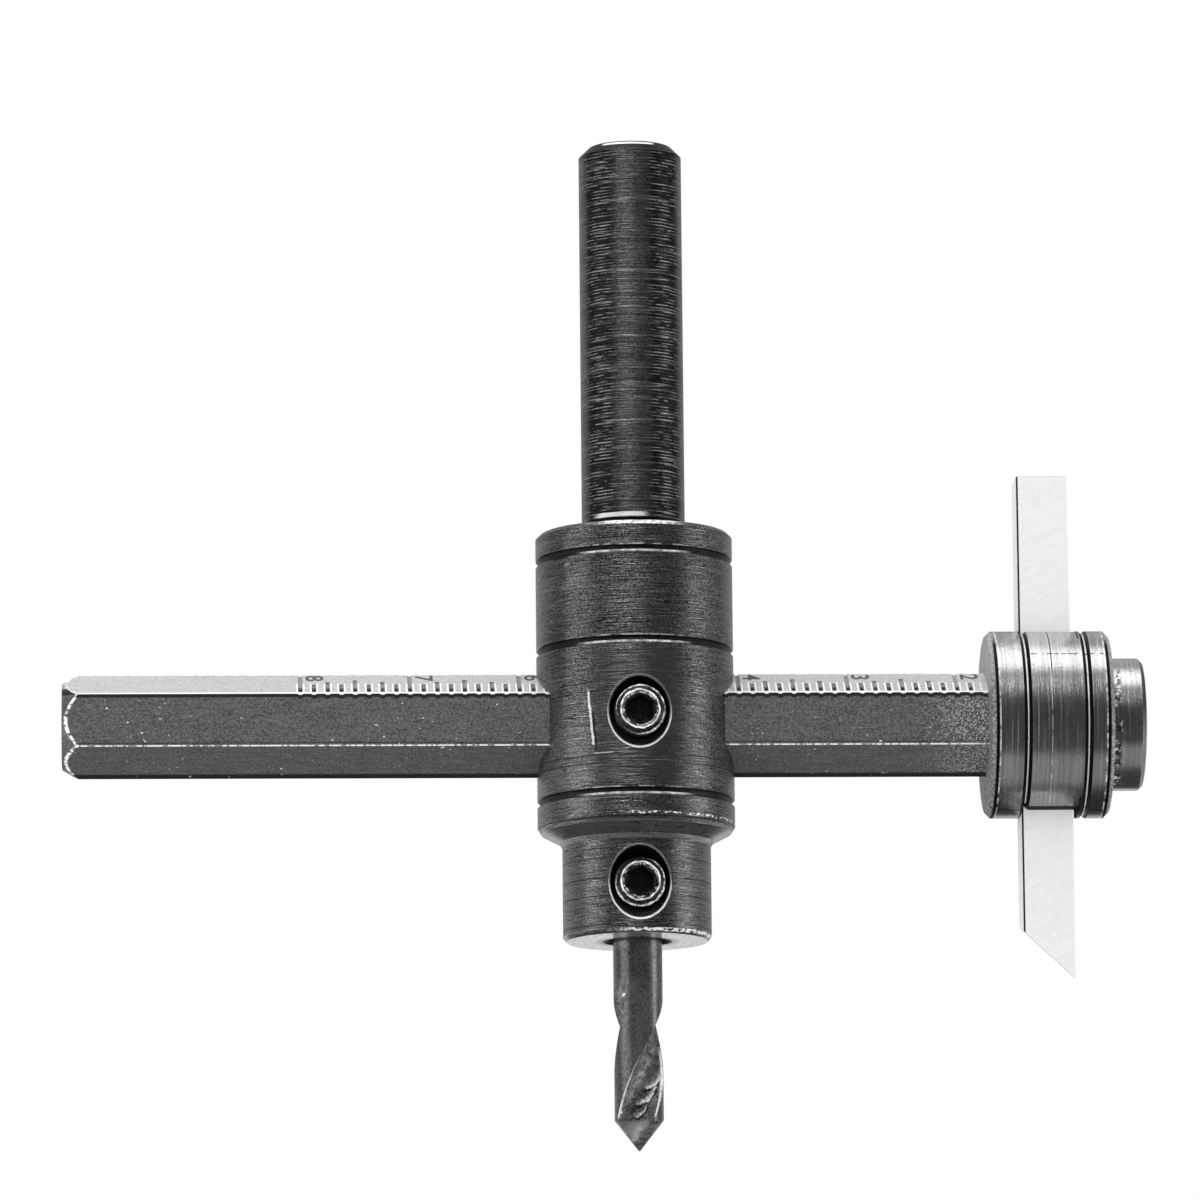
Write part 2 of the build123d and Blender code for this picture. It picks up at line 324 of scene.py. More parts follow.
def countersink(f, height, surface_r, rim_r, ragged):
    """A front countersink's worn rim with a painted highlight low down, and its inside in painted
    shade, darkest at the top.
    """
    radius = f.distance(f.x, f.y)
    out = f.distance(f.x, f.z, 0.0, height)
    front = f.y.rise(-1.0, -2.0)
    skin = radius.rise(surface_r - 0.22, surface_r - 0.1)
    skin = skin * radius.rise(surface_r + 0.3, surface_r + 0.2)
    rim = (out + f.y + (surface_r - rim_r) + ragged).line(0.0, 0.17, 0.07) * skin * front
    inside = out.rise(rim_r + 0.1, rim_r - 0.1) * (1 - skin) * front
    # Painted highlight strongest on the rim's lower side, painted shade strongest in the inside's
    # upper part.
    low_side = f.z.rise(height + 1.5, height - 1.5) * 0.7 + 0.3
    high_side = f.z.rise(height - 3.5, height + 0.5) * 0.45 + 0.55
    return rim * low_side, inside * high_side


def blackened_body():
    """Black oxide over fine turning, worn to bare metal on its edges and the sole, with painted
    light and shade.
    """
    f = Finish("black_body")
    radius = f.distance(f.x, f.y)
    lines = f.noise((0.07, 0.07, 5.0), 4.0, 0.6)
    hair = f.noise((0.2, 0.2, 13.0), 1.0)
    scratch = f.noise((0.09, 0.09, 1.6), 1.0)
    grain = f.noise((4.2, 4.2, 4.6), 2.0)
    specks = f.noise((2.0, 2.0, 3.0), 3.0)
    cloud = f.noise((0.2, 0.2, 0.2))
    patches = f.edge_patches(1.2)
    ragged = (f.noise((1.1, 1.1, 1.1), 3.0) - 0.5) * 0.9
    middle = f.x.rise(-8.0, -5.0) * f.x.rise(7.0, 4.5)
    rightward = f.x.rise(-4.5, 0.0)
    front = f.y.rise(-9.0, -10.0)
    outer = radius.rise(BODY_R - 0.25, BODY_R - 0.1)
    top_face = f.z.rise(-0.04, -0.01)

    # Hollows: countersinks, the drill's mouth and the grooves, dark with painted shade, and
    # painted highlights along the grooves in the middle
    beam_rim, beam_inside = countersink(f, BEAM_Z, BODY_R, BEAM_SINK_R, ragged * 0.12)
    drill_rim, drill_inside = countersink(f, DRILL_SCREW_Z, FOOT_R, DRILL_SINK_R, ragged * 0.25)
    mouth = radius.rise(MOUTH_R + 0.15, MOUTH_R + 0.05) * f.z.rise(FOOT_Z + 1.5, FOOT_Z + 1.0)
    in_groove = f.z.off_nearest(GROOVES).rise(0.5, 0.42) * radius.rise(BODY_R - 0.03, BODY_R - 0.1)
    groove_light = (f.z + ragged * 0.08).off_nearest([height - 0.2 for height in GROOVES])
    groove_light = groove_light.rise(0.17, 0.09) * radius.rise(BODY_R - 0.5, BODY_R - 0.4)
    groove_light = groove_light * middle * (patches * 0.5 + 0.5)
    edge_light = f.z.off_nearest([height + 0.56 for height in GROOVES]).rise(0.1, 0.04)
    edge_light = edge_light * outer * middle * patches * 0.5

    # Edges at the top, the skirt and the foot, rubbed bare and given painted highlights, in the
    # middle at the top and towards the right lower down; a painted shadow under the skirt; a
    # lighter shoulder
    top_edge = f.z.rise(-0.6, -0.45) * radius.rise(BODY_R - 0.7, BODY_R - 0.5)
    top_edge = top_edge * f.x.line(0.5, 6.0, 3.0) * (specks.rise(0.42, 0.52) * 0.6 + 0.4)
    foot_edge = (f.z + ragged * 0.6).line(FOOT_Z + 0.42, 0.26, 0.12)
    foot_edge = foot_edge * specks.rise(0.4, 0.5) * (rightward * 0.85 + 0.15)
    foot_edge = foot_edge * radius.line(FOOT_R, 0.6, 0.4)
    skirt_edge = (f.z + ragged * 0.7).line(SKIRT_Z + 0.72, 0.17, 0.07) * outer
    skirt_edge = skirt_edge * specks.rise(0.49, 0.56) * rightward
    skirt_shadow = f.z.line(SKIRT_Z + 0.25, 0.2, 0.1) * outer
    shoulder = f.z.line(SKIRT_Z - 0.9, 1.3, 0.9) * radius.rise(BODY_R - 0.2, BODY_R - 0.5)

    # An upright nick left of the upper countersink with painted shade beside it, a burr below it,
    # and single turning lines darkened as painted shade
    slanted = f.x + (f.z - NICK_Z) * 0.085 + ragged * 0.25
    nick = (slanted + ragged * 0.2).line(NICK_X, 0.19, 0.09) * f.z.line(NICK_Z, 3.5, 3.1)
    nick = nick * front
    nick_side = slanted.line(NICK_X + 0.32, 0.2, 0.1) * f.z.line(NICK_Z - 1.7, 2.6, 2.2)
    nick_side = nick_side * front
    burr = f.z.line(-28.65, 0.1, 0.03) * f.x.line(-4.4, 1.4, 1.0) * front
    turned = (f.z + ragged * 0.1).off_nearest(TURNED_LINES).rise(0.11, 0.04)
    turned = turned * f.x.off(1.0).rise(4.0, 5.0) * grain.rise(0.3, 0.45)

    # Fine marks all over: scratches, cuts, rubbed lines, rings on the top and a calmer middle,
    # with a painted sheen low on both sides
    rings = radius.swing(0.3).rise(0.1, 0.25) * top_face
    scratched = scratch.line(0.6, 0.01, 0.003) * grain.rise(0.3, 0.5) * (1 - top_face)
    cut = scratch.line(0.635, 0.014, 0.004) * (1 - top_face)
    low_side_sheen = f.z.rise(-16.0, -32.0) * f.x.off(-0.5).rise(3.0, 6.0) * f.x.rise(9.5, 7.0)
    rubbed_and_sheen = (lines.rise(0.58, 0.7) * 0.12).highest(scratched * 0.3) + low_side_sheen * 0.09
    calm = f.x.line(-0.2, 5.6, 4.2) * f.z.line(BEAM_Z - 0.5, 8.6, 7.6) * front

    wear_and_highlights = top_edge.highest(foot_edge, beam_rim, drill_rim, nick * 0.85)
    wear_and_highlights = wear_and_highlights.highest(skirt_edge, groove_light, edge_light, burr * 0.6) * (1 - mouth)
    # Painted shade in the countersinks, the mouth and the grooves, under the skirt, beside the
    # nick and in the single turning lines.
    painted_shade = beam_inside.highest(drill_inside, in_groove * 0.85, mouth)
    painted_shade = painted_shade.highest(skirt_shadow * 0.8, nick_side * 0.8, turned * 0.75)
    black = f.mix(lines.rise(0.35, 0.62) * 0.2 + grain.spread() * 0.8, 0.035, 0.265)
    black = f.mix(rubbed_and_sheen.highest(shoulder * 0.2), black, 0.8)
    black = f.mix((cut * 0.8).highest(painted_shade), black, 0.01)
    black = f.mix(rings * grain.rise(0.3, 0.5) * 0.3, black, 0.4)
    black = f.mix(calm * 0.6 * (1 - painted_shade), black, 0.2)

    sole = f.z.rise(FOOT_Z + 0.05, FOOT_Z) * (1 - mouth)
    mottled = f.mix(grain.rise(0.3, 0.6) * 0.4 + specks.rise(0.4, 0.58) * 0.6, 0.36, 0.97)
    mottled = f.mix(radius.rise(5.5, 4.4) * 0.75, mottled, 0.05)
    metal = f.mix(grain.rise(0.3, 0.6), 0.7, 0.95)
    colour = f.mix(wear_and_highlights, f.mix(sole, black, mottled), metal)
    relief = f.bump((lines * 0.25 + hair * 0.6 + grain * 0.04) * (1 - calm * 0.12), 0.1)
    return f.finish(colour, cloud * 0.1 + 0.17 + painted_shade * 0.2, 0.92 - wear_and_highlights * 0.7, relief)


def drawn_bar():
    """Grey drawn bar with a bright upper front face that carries the scale, painted highlights and
    painted shade.
    """
    f = Finish("drawn_bar")
    over = f.z - BEAM_Z
    aside = f.y.off(0.0)
    drawn = f.noise((0.25, 4.0, 4.0), 3.0)
    grain = f.noise((3.5, 3.5, 3.5), 2.0)
    fine = f.noise((5.0, 6.0, 6.0), 2.0)
    pits = f.noise((1.6, 2.2, 2.2), 2.0)
    patches = f.noise((0.7, 2.5, 2.5), 3.0).rise(0.4, 0.55)
    dotted = f.noise((2.2, 0.5, 0.5), 2.0).rise(0.4, 0.52)

    # How far a place lies out from the upright, the slanting and the scale's flats
    side = aside - BEAM_FLAT
    slant = aside * SIN_30 + over.off(0.0) * COS_30 - BEAM_FLAT
    scale_side = over * COS_30 - f.y * SIN_30 - BEAM_FLAT

    # The scale: bright face, stamped marks, and painted highlights where metal is pushed up beside
    # and below them and along the face's lower edge, with painted shade under that lip
    on_scale = f.y.rise(0.05, -0.05) * over.rise(3.0, 3.3)
    scale_face = scale_side.rise(-0.06, -0.03) * on_scale
    stamped = (scale_side * -1.0).rise(0.02, 0.1) * on_scale
    marked = f.x.rise(LAST_MARK_X - 0.6, LAST_MARK_X - 0.5)
    from_mark = (f.x - FIRST_MARK_X).swing(SCALE_STEP / SCALE_PARTS / 2)
    face_up = (over - BEAM_CORNER / 2) * 2
    beside = from_mark.line(0.4, 0.15, 0.07) * face_up.rise(3.7, 3.2) * marked
    foot_strip = scale_face * side.rise(-0.47, -0.4)
    pushed = over + from_mark.rise(0.5, 0.1) * marked * 0.2
    front = side.rise(-0.03, -0.01)
    pushed_lip = front * pushed.rise(3.24, 3.3) * marked
    under_scale = front * (pushed + fine * 0.2).rise(2.84, 2.94) * pushed.rise(3.3, 3.2)

    # Corners and ridges with painted highlights, and painted shade on a low line of the front face
    # and along the bottom ridge
    corner = side.lowest(slant).rise(-0.13, -0.05) * over.rise(0.0, -1.0) * (dotted * 0.7 + 0.2)
    far_corner = side.lowest(slant).rise(-0.16, -0.06) * f.y.rise(0.0, 1.0) * patches
    ridge = aside.rise(0.15, 0.05) * over.rise(6.1, 6.25) * patches
    low_line = front * over.line(-2.85, 0.1, 0.04)
    keel = over.rise(-5.9, -6.05)

    # The chamfer on the free end, with a painted highlight along its edge
    past_cone = f.distance(f.y, over) - (f.x - TAIL_X) * TAIL_SLOPE - TAIL_R
    tail_edge = past_cone.line(0.0, 0.16, 0.07) * side.highest(slant).rise(-0.2, -0.08)
    tail_edge = tail_edge * f.x.rise(-66.0, -68.0) * patches
    tail_cone = past_cone.rise(-0.25, -0.1) * f.x.rise(-67.0, -68.0)

    speckled = fine.rise(0.5, 0.62) * f.x.rise(HEAD_X - 10.0, HEAD_X) * 0.45
    flecks = pits.rise(0.715, 0.75) * 0.65
    wear_and_highlights = foot_strip.highest(corner, far_corner, ridge, tail_edge, beside * scale_face)
    wear_and_highlights = wear_and_highlights.highest(pushed_lip, speckled, flecks)
    # Painted shade at the lower ends of the stamped marks, under the scale's lip, on a low line
    # and on the bottom ridge; inside the marks the grey is lightened as a painted reflection off
    # their walls.
    shade = (stamped * face_up.rise(2.5, 1.5)).highest(under_scale, low_line * 0.7, keel)
    dark = f.mix(drawn.spread() * 0.2 + fine.spread() * 0.8, 0.045, 0.19)
    dark = f.mix(stamped * fine.rise(0.25, 0.5), dark, 0.42)
    bright = f.mix(grain.rise(0.35, 0.65), 0.53, 0.7)
    colour = f.mix(wear_and_highlights, f.mix(scale_face, dark, bright), 0.95)
    colour = f.mix(shade * (1 - flecks), colour, 0.02)
    relief = f.bump(drawn * 0.3 + fine * 0.7, 0.02)
    metallic = 0.3 + scale_face * 0.4 - wear_and_highlights * 0.3
    return f.finish(colour, grain * 0.2 + 0.34 - tail_cone * 0.1, metallic, relief)


def turned_head():
    """Bright turned steel with painted shade in its rings and round the bit, painted highlights,
    and nicks at the boss.
    """
    f = Finish("turned_head")
    along = f.x - HEAD_X
    over = f.z - BEAM_Z
    radius = f.distance(f.y, over)
    lines = f.noise((4.0, 0.08, 0.08), 3.0)
    hair = f.noise((14.0, 0.3, 0.3), 1.0)
    cloud = f.noise((0.4, 0.4, 0.4))
    grain = f.noise((3.5, 3.5, 3.5), 3.0)
    pits = f.noise((2.5, 2.5, 2.5), 2.0)
    patches = f.edge_patches(1.0)
    front = f.y.rise(0.0, -3.0)
    skin = radius.rise(HEAD_R - 0.8, HEAD_R - 0.6)

    # Ring grooves with painted shade on their walls and a painted highlight along their floors;
    # rims with a painted highlight and painted shade on the bevel that fades towards the top; and
    # end faces
    ring = along.off_nearest((NEAR_RING, FAR_RING))
    ring_walls = ring.rise(0.54, 0.46) * ring.rise(0.09, 0.14) * skin
    ring_floor = ring.rise(0.1, 0.04) * skin
    from_end = along.off_nearest((0.0, HEAD_L))
    rim_light = from_end.line(0.95, 0.16, 0.06) * patches * skin
    bevel_lines = from_end.line(0.68, 0.28, 0.14) * radius.rise(HEAD_R - 1.2, HEAD_R - 1.0)
    bevel_lines = bevel_lines * over.rise(10.5, 8.5)
    far_end = along.rise(HEAD_L - 0.66, HEAD_L - 0.56) * radius.rise(BOSS_R + 0.25, BOSS_R + 0.45)
    ends = along.rise(0.66, 0.56).highest(far_end)

    # The boss: its end face, its bevel and the nicked root, with painted shade in the dents
    boss_x = HEAD_L + BOSS_L
    boss_end = along.rise(boss_x - 0.1, boss_x - 0.03)
    boss_bevel = along.rise(boss_x - 0.52, boss_x - 0.44) * (1 - boss_end) * 0.6
    rings = radius.swing(0.22).rise(0.06, 0.18) * boss_end
    root = along.line(HEAD_L + 0.5, 0.9, 0.3) * radius.rise(BOSS_R + 0.35, BOSS_R + 0.15)
    clusters = f.noise((0.35, 0.35, 0.35), 1.0).rise(0.48, 0.54) * root
    dents = f.noise((1.5, 1.7, 1.7), 3.0, 0.6)
    nicked = dents.rise(0.54, 0.58) * clusters
    pressed_shade = dents.rise(0.5, 0.46) * clusters

    # Painted shade along the edges of the bit's slot and under the head in front of the bit, a
    # seam round the middle with a painted highlight and painted shade beside it, and a chatter
    # line near the top
    gap = f.y.off(0.0).off(3.22).lowest(along.off_nearest(SLOT_ENDS))
    slot = gap.rise(0.16, 0.06) * over.off(0.0).rise(9.5, 10.0)
    lip = f.y.line(-3.6, 0.65, 0.5) * along.line(7.55, 3.8, 3.5) * over.rise(-9.0, -10.0)
    seam = along.line(7.3, 0.08, 0.03) * f.noise((1.0, 1.0, 0.6), 3.0).rise(0.45, 0.58) * skin
    seam_cut = along.line(7.42, 0.1, 0.04) * over.rise(3.0, 6.0) * front
    chatter = over.line(7.4, 0.13, 0.05) * f.noise((1.6, 0.3, 0.3)).rise(0.5, 0.56)
    chatter = chatter * front * skin

    shine = (rim_light * 0.8).highest(seam * 0.5, ring_floor * 0.9, nicked)
    grime_and_shade = ring_walls.highest(bevel_lines, seam_cut, slot, lip, pressed_shade * 0.85)
    grime_and_shade = grime_and_shade.highest(pits.rise(0.66, 0.72) * 0.6, boss_bevel, chatter * 0.7) * (1 - nicked)
    brushed = lines.rise(0.55, 0.68) * over.line(-1.0, 6.0, 2.0) * front
    # Painted shade on the head's underside.
    underside_shade = over.rise(-8.9, -10.0) * skin
    steel = f.mix(lines.spread() * 0.7 + grain.spread() * 0.3, 0.4, 0.66)
    steel = f.mix(underside_shade * 0.5, steel, 0.1)
    steel = f.mix(rings * 0.5, f.mix(brushed * 0.25, steel, 0.9), 0.15)
    # End faces in grainy grey, lighter towards the top as painted light.
    end_grey = f.mix(over.rise(1.0, 8.0) * 0.4, f.mix(grain.spread(), 0.12, 0.55), 0.85)
    colour = f.mix(shine, f.mix(ends, steel, end_grey), 0.9)
    colour = f.mix(grime_and_shade, colour, 0.012)
    relief = f.bump(lines * 0.4 + hair * 0.5 + grain * 0.1, 0.018)
    roughness = cloud * 0.15 + 0.16 + grime_and_shade * 0.2 + ends * 0.4
    return f.finish(colour, roughness, 1 - shine * 0.65 - brushed * 0.12 - ends * 0.35, relief)


def ground_bit():
    """Pale steel ground aslant, with painted shade along its left front corner and painted
    highlights on its edges and left face.
    """
    f = Finish("ground_bit")
    turned = f.node("Mapping", {}, {"Vector": f.place, "Rotation": (0.0, math.radians(28), 0.0)})
    grind = f.noise((0.3, 3.0, 2.2), 3.0, place=turned)
    cloud = f.noise((0.5, 0.5, 0.5), 3.0)
    grain = f.noise((2.4, 2.4, 2.4), 3.0)
    patches = f.noise((1.0, 1.0, 0.9), 3.0)

    top_end = f.z.rise(BIT_TOP - 0.06, BIT_TOP - 0.02)
    corner = f.x.off(BIT_X).lowest(f.y.off(0.0)).rise(BIT_HALF - 0.2, BIT_HALF - 0.08)
    left = f.x.rise(BIT_X - 3.0, BIT_X - 3.15) * (1 - top_end)
    front_strip = f.x.rise(BIT_X - 2.96, BIT_X - 3.02) * f.y.rise(-3.0, -3.1) * (1 - top_end)
    corner_shade = (left * (f.y + patches * 0.8).rise(-1.9, -2.5)).highest(front_strip)
    scratches = grind.rise(0.62, 0.7) * 0.3 + cloud.rise(0.66, 0.74) * 0.4
    scratches = scratches + grain.rise(0.6, 0.7) * 0.5

    colour = f.mix(grind.spread() * 0.5 + grain.spread() * 0.5, 0.76, 0.84)
    colour = f.mix(scratches * 0.2, colour, 0.55)
    colour = f.mix(top_end, colour, f.mix(grain.spread(), 0.4, 0.56))
    # Painted highlight on the long edges and the left face, and painted shade along the left front
    # corner.
    colour = f.mix(corner.highest(left), colour, 0.95)
    colour = f.mix(corner_shade, colour, 0.01)
    return f.finish(colour, cloud * 0.15 + 0.4, 0.1, f.bump(grind, 0.006))


def torn_chip(f, x, z, size, ragged):
    """A crescent that a chip left on the drill's flute, painted bright towards its lower right,
    and painted shade round it.
    """
    flattened = 0.7
    leaning = f.x - (f.z - z) * 0.5
    out = f.distance(leaning, f.z * flattened, x, z * flattened) + ragged
    low_right = (f.x - x - (f.z - z)).rise(-0.4, 1.0)
    bright = out.rise(size * 0.4, size) * out.rise(size + 0.12, size) * low_right
    return bright, out.line(size + 0.22, 0.22, 0.08) * low_right


def drill_steel():
    """Dark drill with lips in painted highlight and a front flute that chips have torn, shown in
    painted light and shade.
    """
    f = Finish("drill_steel")
    radius = f.distance(f.x, f.y)
    cloud = f.noise((0.8, 0.8, 0.3), 3.0)
    grain = f.noise((5.0, 5.0, 3.0), 2.0)
    uneven = f.noise((0.7, 0.7, 1.1), 3.0)
    ragged = (f.noise((1.2, 1.2, 1.2), 4.0, 0.65) - 0.5) * 1.3
    land = radius.rise(DRILL_R - 0.07, DRILL_R - 0.02)
    in_flute = 1 - land

    # Painted highlights on the lips along the flutes, two dots, and what chips tore and pressed in
    # the front flute, shown as painted highlights with painted shade round them
    lip = radius.rise(DRILL_R - 0.01, DRILL_R - 0.07) * radius.rise(DRILL_R - 0.48, DRILL_R - 0.25)
    lip = lip * f.z.rise(-62.5, -64.5) * f.z.rise(-72.3, -71.8) * grain.rise(0.28, 0.4)
    dots = Value.lowest(*[f.distance(f.x, f.z, x, z) for x, z in DOTS])
    dots = (dots + ragged * 0.2).rise(0.26, 0.14)
    chips = [torn_chip(f, x, z, size, ragged) for x, z, size in CHIPS]
    torn, pressed_shade = [Value.highest(*marks) * in_flute for marks in zip(*chips)]
    point = f.z.rise(POINT_Z, POINT_Z - 0.5) * (f.x - (f.z + 72.5) * 0.7).rise(1.6, 0.6)

    flute = f.mix(grain.spread() * 0.6 + uneven.rise(0.35, 0.65) * 0.4, 0.04, 0.4)
    flute = f.mix(point * (uneven.rise(0.25, 0.6) * 0.5 + 0.4), flute, 0.6)
    smooth = f.mix(cloud.spread() * 0.35 + grain.spread() * 0.65, 0.09, 0.34)
    wear_and_highlights = lip.highest(torn * (grain.rise(0.3, 0.55) * 0.5 + 0.35), dots)
    colour = f.mix(pressed_shade * 0.9, f.mix(land, flute, smooth), 0.015)
    colour = f.mix(wear_and_highlights, colour, 0.88)
    relief = f.bump((torn * 0.3 + uneven * 0.5) * in_flute + grain * 0.06, 0.2)
    return f.finish(colour, 0.42 - land * 0.12, 0.85 - wear_and_highlights * 0.6, relief)


def screw_black(f, out, along, face):
    """Blackened set screw. Out is the distance from its axis, along is towards its socket."""
    grain = f.noise((3.0, 3.0, 3.0), 2.0)
    fine = f.noise((6.0, 6.0, 6.0), 2.0)
    patches = f.edge_patches(0.8)
    ragged = out + (f.noise((1.5, 1.5, 1.5), 3.0) - 0.5) * 0.4
    rim = ragged.line(SCREW_RIM_R - 0.07, 0.15, 0.07) * (patches * 0.4 + 0.6)
    outer = ragged.line(SCREW_R - 0.14, 0.16, 0.06) * (patches * 0.8 + 0.2)
    outer = outer * fine.rise(0.35, 0.5)
    burrs = ragged.line(2.05, 0.14, 0.06) * patches * fine.rise(0.4, 0.5) * 0.7
    wear_and_highlights = rim.highest(outer, burrs) * along.rise(face - 1.2, face - 0.9)
    deep = out.rise(1.95, 1.8) * along.rise(face - 0.25, face - 0.6)
    black = f.mix(grain.spread(), 0.012, 0.06)
    black = f.mix(deep, black, f.mix(fine.rise(0.4, 0.7), 0.012, 0.15))
    return f.finish(f.mix(wear_and_highlights, black, 0.95), grain * 0.3 + 0.26, 0.8 - wear_and_highlights * 0.7)


def stamped_black():
    """Ink in the scale's digits."""
    f = Finish("stamped_black")
    grain = f.noise((3.0, 3.0, 3.0))
    return f.finish(f.mix(grain, 0.06, 0.078), grain * 0.2 + 0.5)


for node, material in {
    "shank": blackened_shank(),
    "body": blackened_body(),
    "beam": drawn_bar(),
    "tool_head": turned_head(),
    "tool_bit": ground_bit(),
    "pilot_drill": drill_steel(),
}.items():
    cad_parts[node].material_slots[0].material = material


# Threaded set screws

def place_piece(name, shell, material, body):
    """Makes the piece from a shell in metres, and sets it on the body it moves with."""
    mesh = bpy.data.meshes.new(name)
    shell.to_mesh(mesh)
    shell.free()
    mesh.materials.append(material)
    piece = bpy.data.objects.new(name, mesh)
    bpy.context.scene.collection.objects.link(piece)
    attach(piece, body)
    return piece


def soften(shell, degrees):
    """Smooth shading that keeps edges sharper than so many degrees."""
    for face in shell.faces:
        face.smooth = True
    for edge in shell.edges:
        edge.smooth = edge.calc_face_angle(0.0) < math.radians(degrees)


def thread_depth(height, angle):
    """How deep the right-hand thread is cut at a place, from 0 on its crest to 1 at its root."""
    turn = (height / SCREW_PITCH - angle / math.tau) % 1.0
    from_crest = abs(2 * turn - 1)
    return min(1.0, max(0.0, (from_crest - CREST_SHARE) / FLANK_SHARE))


def set_screw_shell(length, socket_turn):
    """A 1/4-20 socket set screw along +Z in millimetres, its flat point at zero."""
    rows = ROWS_A_TURN * math.ceil(length / SCREW_PITCH)
    side = [(SCREW_R, length * row / rows) for row in range(1, rows)]
    socket_floor = length - SOCKET_DEPTH
    profile = [(0, 0), (SCREW_TIP_R, 0), *side, (SCREW_RIM_R, length), (SOCKET_CORNER, length),
               (SOCKET_CORNER, socket_floor), (0, socket_floor)]
    shell = bmesh.new()
    points = [shell.verts.new((radius, 0, height)) for radius, height in profile]
    chain = [shell.edges.new(ends) for ends in zip(points, points[1:])]
    bmesh.ops.spin(shell, geom=points + chain, cent=(0, 0, 0), axis=(0, 0, 1),
                   angle=math.tau, steps=SCREW_SEGMENTS, use_merge=True)
    bmesh.ops.remove_doubles(shell, verts=shell.verts, dist=0.0001)
    sixth = math.tau / 6
    for point in shell.verts:
        radius = math.hypot(point.co.x, point.co.y)
        angle = math.atan2(point.co.y, point.co.x)
        if abs(radius - SCREW_R) < 0.001:
            threaded = SCREW_R - thread_depth(point.co.z, angle) * (SCREW_R - SCREW_ROOT_R)
            cut = min(threaded, SCREW_TIP_R + point.co.z, SCREW_RIM_R + length - point.co.z)
            point.co.xy *= cut / radius
        elif abs(radius - SOCKET_CORNER) < 0.001:
            sector = (angle + sixth / 2 + socket_turn) % sixth - sixth / 2
            point.co.xy *= math.cos(sixth / 2) / math.cos(sector)
    bmesh.ops.recalc_face_normals(shell, faces=shell.faces)
    soften(shell, 34)
    return shell


def threaded_screw(node, length, socket_turn, place, material):
    shell = set_screw_shell(length, socket_turn)
    bmesh.ops.transform(shell, matrix=place @ Matrix.Diagonal((MM, MM, MM, 1)), verts=shell.verts)
    piece = place_piece("threaded_" + node, shell, material, node)
    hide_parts(node)


def front_screw(node, start, height, length, socket_turn=0.0):
    """A screw whose point stands at the start in front of the spindle's axis."""
    f = Finish(node + "_black")
    out = f.distance(f.x, f.z, 0.0, height)
    material = screw_black(f, out, f.y * -1.0, start + length)
    place = Matrix.Translation((0, -start * MM, height * MM))
    place = place @ Matrix.Rotation(math.pi / 2, 4, "X")
    threaded_screw(node, length, socket_turn, place, material)


def side_screw(node, start, length):
    """A screw on the beam's axis whose point stands at the start along +X."""
    f = Finish(node + "_black")
    out = f.distance(f.y, f.z, 0.0, BEAM_Z)
    material = screw_black(f, out, f.x, start + length)
    place = Matrix.Translation((start * MM, 0, BEAM_Z * MM))
    place = place @ Matrix.Rotation(math.pi / 2, 4, "Y")
    threaded_screw(node, length, 0.0, place, material)


front_screw("beam_screw", start=BEAM_FLAT + TIP_GAP, height=BEAM_Z, length=7.94)
front_screw("drill_screw", start=DRILL_R + TIP_GAP, height=DRILL_SCREW_Z, length=6.35,
            socket_turn=math.radians(8))
side_screw("bit_screw", start=BIT_X + BIT_HALF + TIP_GAP, length=7.94)


# Numbers on the scale

def stamp_number(numbers, digit, mark_x):
    """Adds a digit beside its mark, flat on the beam's upper front face."""
    text = bpy.data.curves.new("digit", "FONT")
    text.body = digit
    text.size = DIGIT_SIZE * MM
    text.extrude = DIGIT_DEPTH / 2 * MM
    text.offset = DIGIT_BOLD * MM
    text.align_x = "CENTER"
    holder = bpy.data.objects.new("digit", text)
    mesh = bpy.data.meshes.new_from_object(holder)
    bpy.data.objects.remove(holder)
    stamped_before = len(numbers.verts)
    numbers.from_mesh(mesh)
    bpy.data.meshes.remove(mesh)
    numbers.verts.ensure_lookup_table()
    face_foot = ((mark_x + DIGIT_SHIFT) * MM, -BEAM_FLAT * MM, (BEAM_Z + BEAM_CORNER / 2) * MM)
    up_face = (0, DIGIT_UP * MM, -DIGIT_SINK * MM)
    place = (
        Matrix.Translation(face_foot)
        @ Matrix.Rotation(math.radians(30), 4, "X")
        @ Matrix.Translation(up_face)
        @ Matrix.Rotation(math.radians(-90), 4, "Z")
        @ Matrix.Diagonal((DIGIT_STRETCH, 1, 1, 1))
    )
    bmesh.ops.transform(numbers, matrix=place, verts=numbers.verts[stamped_before:])


numbers = bmesh.new()
for step, digit in enumerate(DIGITS):
    stamp_number(numbers, digit, FIRST_MARK_X - step * SCALE_STEP)
bmesh.ops.remove_doubles(numbers, verts=numbers.verts, dist=0.000001)
bmesh.ops.recalc_face_normals(numbers, faces=numbers.faces)
place_piece("scale_numbers", numbers, stamped_black(), "beam")


# Studio, in metres

FLOOR_R = 3.0
FLOOR_Z = -0.25


def lamp(name, place, target, width, height, radiance):
    """A soft panel aimed at a point, as bright all over as its radiance says."""
    light = bpy.data.lights.new(name, "AREA")
    light.shape = "RECTANGLE"
    light.size = width
    light.size_y = height
    light.energy = radiance * width * height * math.pi
    holder = bpy.data.objects.new(name, light)
    holder.location = place
    aim = Vector(target) - Vector(place)
    holder.rotation_euler = aim.to_track_quat("-Z", "Y").to_euler()
    holder.visible_camera = False
    bpy.context.scene.collection.objects.link(holder)


lamp("overhead", (-0.1, -0.07, 0.8), (0, 0, -0.02), 0.8, 0.66, 1.7)
lamp("front_soft", (-0.185, -0.635, 0.55), (0, 0, -0.02), 0.42, 0.3, 3.3)
lamp("left_panel", (-0.82, -0.3, -0.16), (0, 0, -0.06), 0.6, 0.4, 1.7)
lamp("right_panel", (0.85, -0.2, -0.1), (0, 0, -0.08), 0.28, 0.42, 2.4)

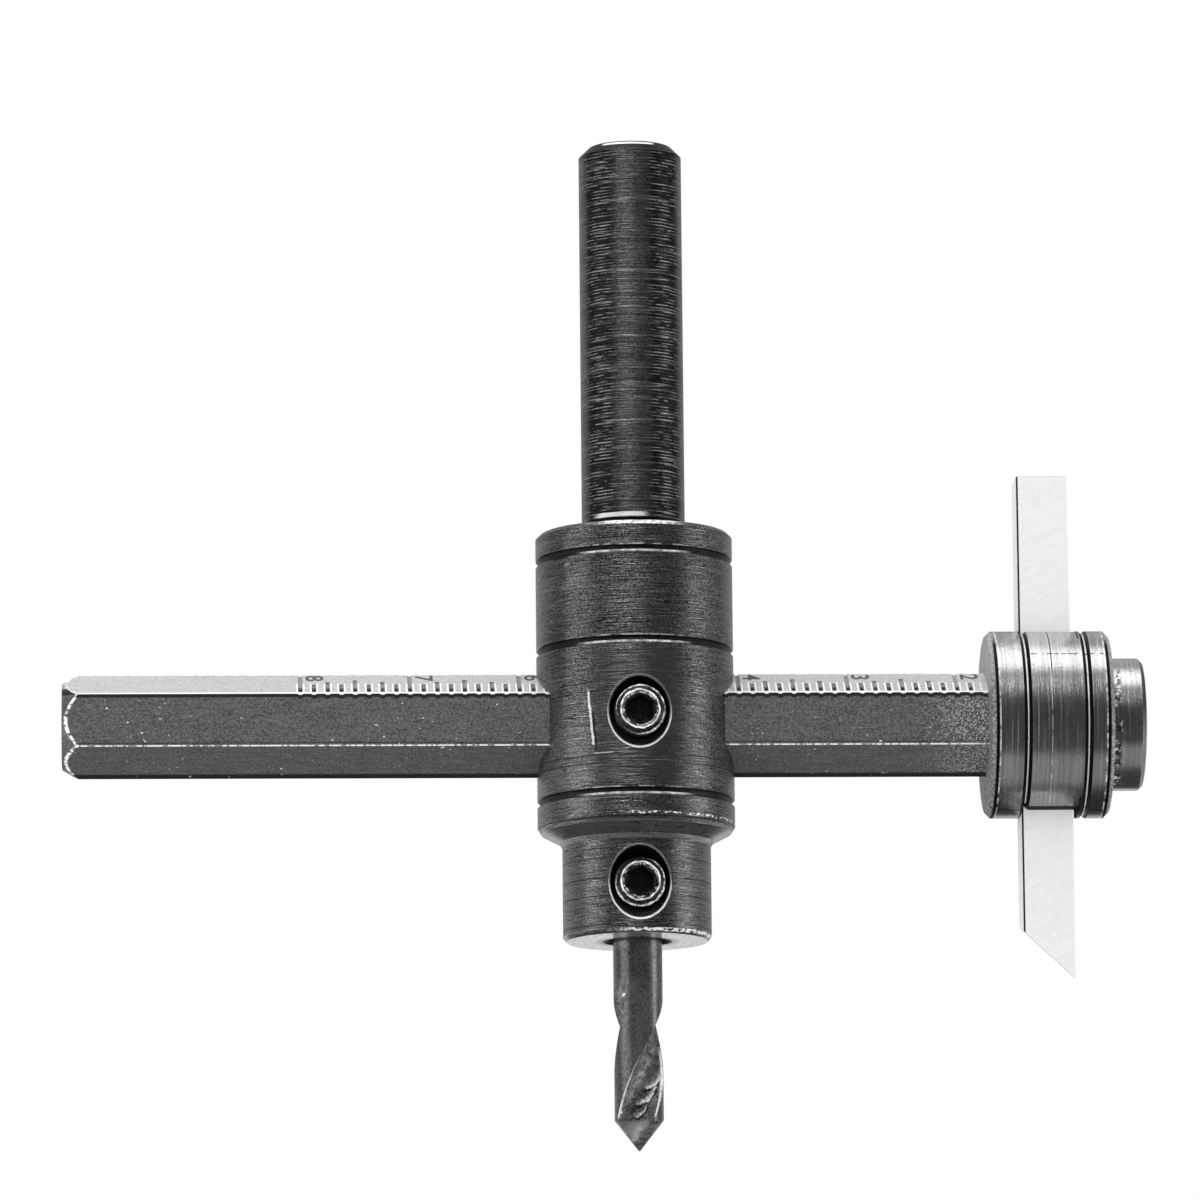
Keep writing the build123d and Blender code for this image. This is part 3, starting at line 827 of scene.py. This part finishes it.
disc = bmesh.new()
bmesh.ops.create_circle(disc, cap_ends=True, segments=96, radius=FLOOR_R,
                        matrix=Matrix.Translation((0, 0, FLOOR_Z)))
floor_mesh = bpy.data.meshes.new("floor")
disc.to_mesh(floor_mesh)
disc.free()
floor = bpy.data.objects.new("floor", floor_mesh)
bpy.context.scene.collection.objects.link(floor)

# The floor is white to the camera. In the steel's reflections it is dark near the cutter, with a
# greyer strip in front of it, and pale far behind and far out on both sides.
pale = Finish("pale_floor")
seen_ray, mirror_ray = pale.node("LightPath", {}, {}, ("Is Camera Ray", "Is Glossy Ray"))
strip = pale.y.rise(-275.0, -195.0) * pale.y.rise(20.0, -40.0)
aslant = pale.x.off(0.0) + pale.y.lowest(0.0) * 1.1
around = pale.y.rise(450.0, 750.0).highest(aslant.rise(240.0, 440.0))
mirrored_grey = pale.mix(around, pale.mix(strip, 0.04, 0.23), 0.8)
pale.finish(pale.mix(mirror_ray, pale.mix(seen_ray, 0.8, 0.98), mirrored_grey), 0.9)
floor_mesh.materials.append(pale.material)

# The world is white to the camera and as soft light. In reflections it is dark, and paler at the
# back, at the top and high on both sides.
world = bpy.data.worlds.new("studio")
world.use_nodes = True
bpy.context.scene.world = world
sky = Nodes(world.node_tree)
camera_ray, glossy_ray, clear_ray = sky.node(
    "LightPath", {}, {}, ("Is Camera Ray", "Is Glossy Ray", "Is Transmission Ray")
)
heading = sky.node("TexCoord", {}, {}, "Generated")
aside, back, up = sky.node("SeparateXYZ", {}, {0: heading}, ("X", "Y", "Z"))
mirrored = 0.05 + back.rise(0.25, 0.8) * 0.4 + up.rise(0.5, 0.95) * 0.3
mirrored = mirrored.highest(aside.off(0.0).rise(0.7, 0.85) * up.rise(0.3, 0.5) * 0.4)
shown = camera_ray + clear_ray
strength = shown + glossy_ray * mirrored + (1 - (shown + glossy_ray))
backdrop = world.node_tree.nodes["Background"]
sky.feed(backdrop.inputs["Color"], (1.0, 1.0, 1.0, 1.0))
sky.feed(backdrop.inputs["Strength"], strength)
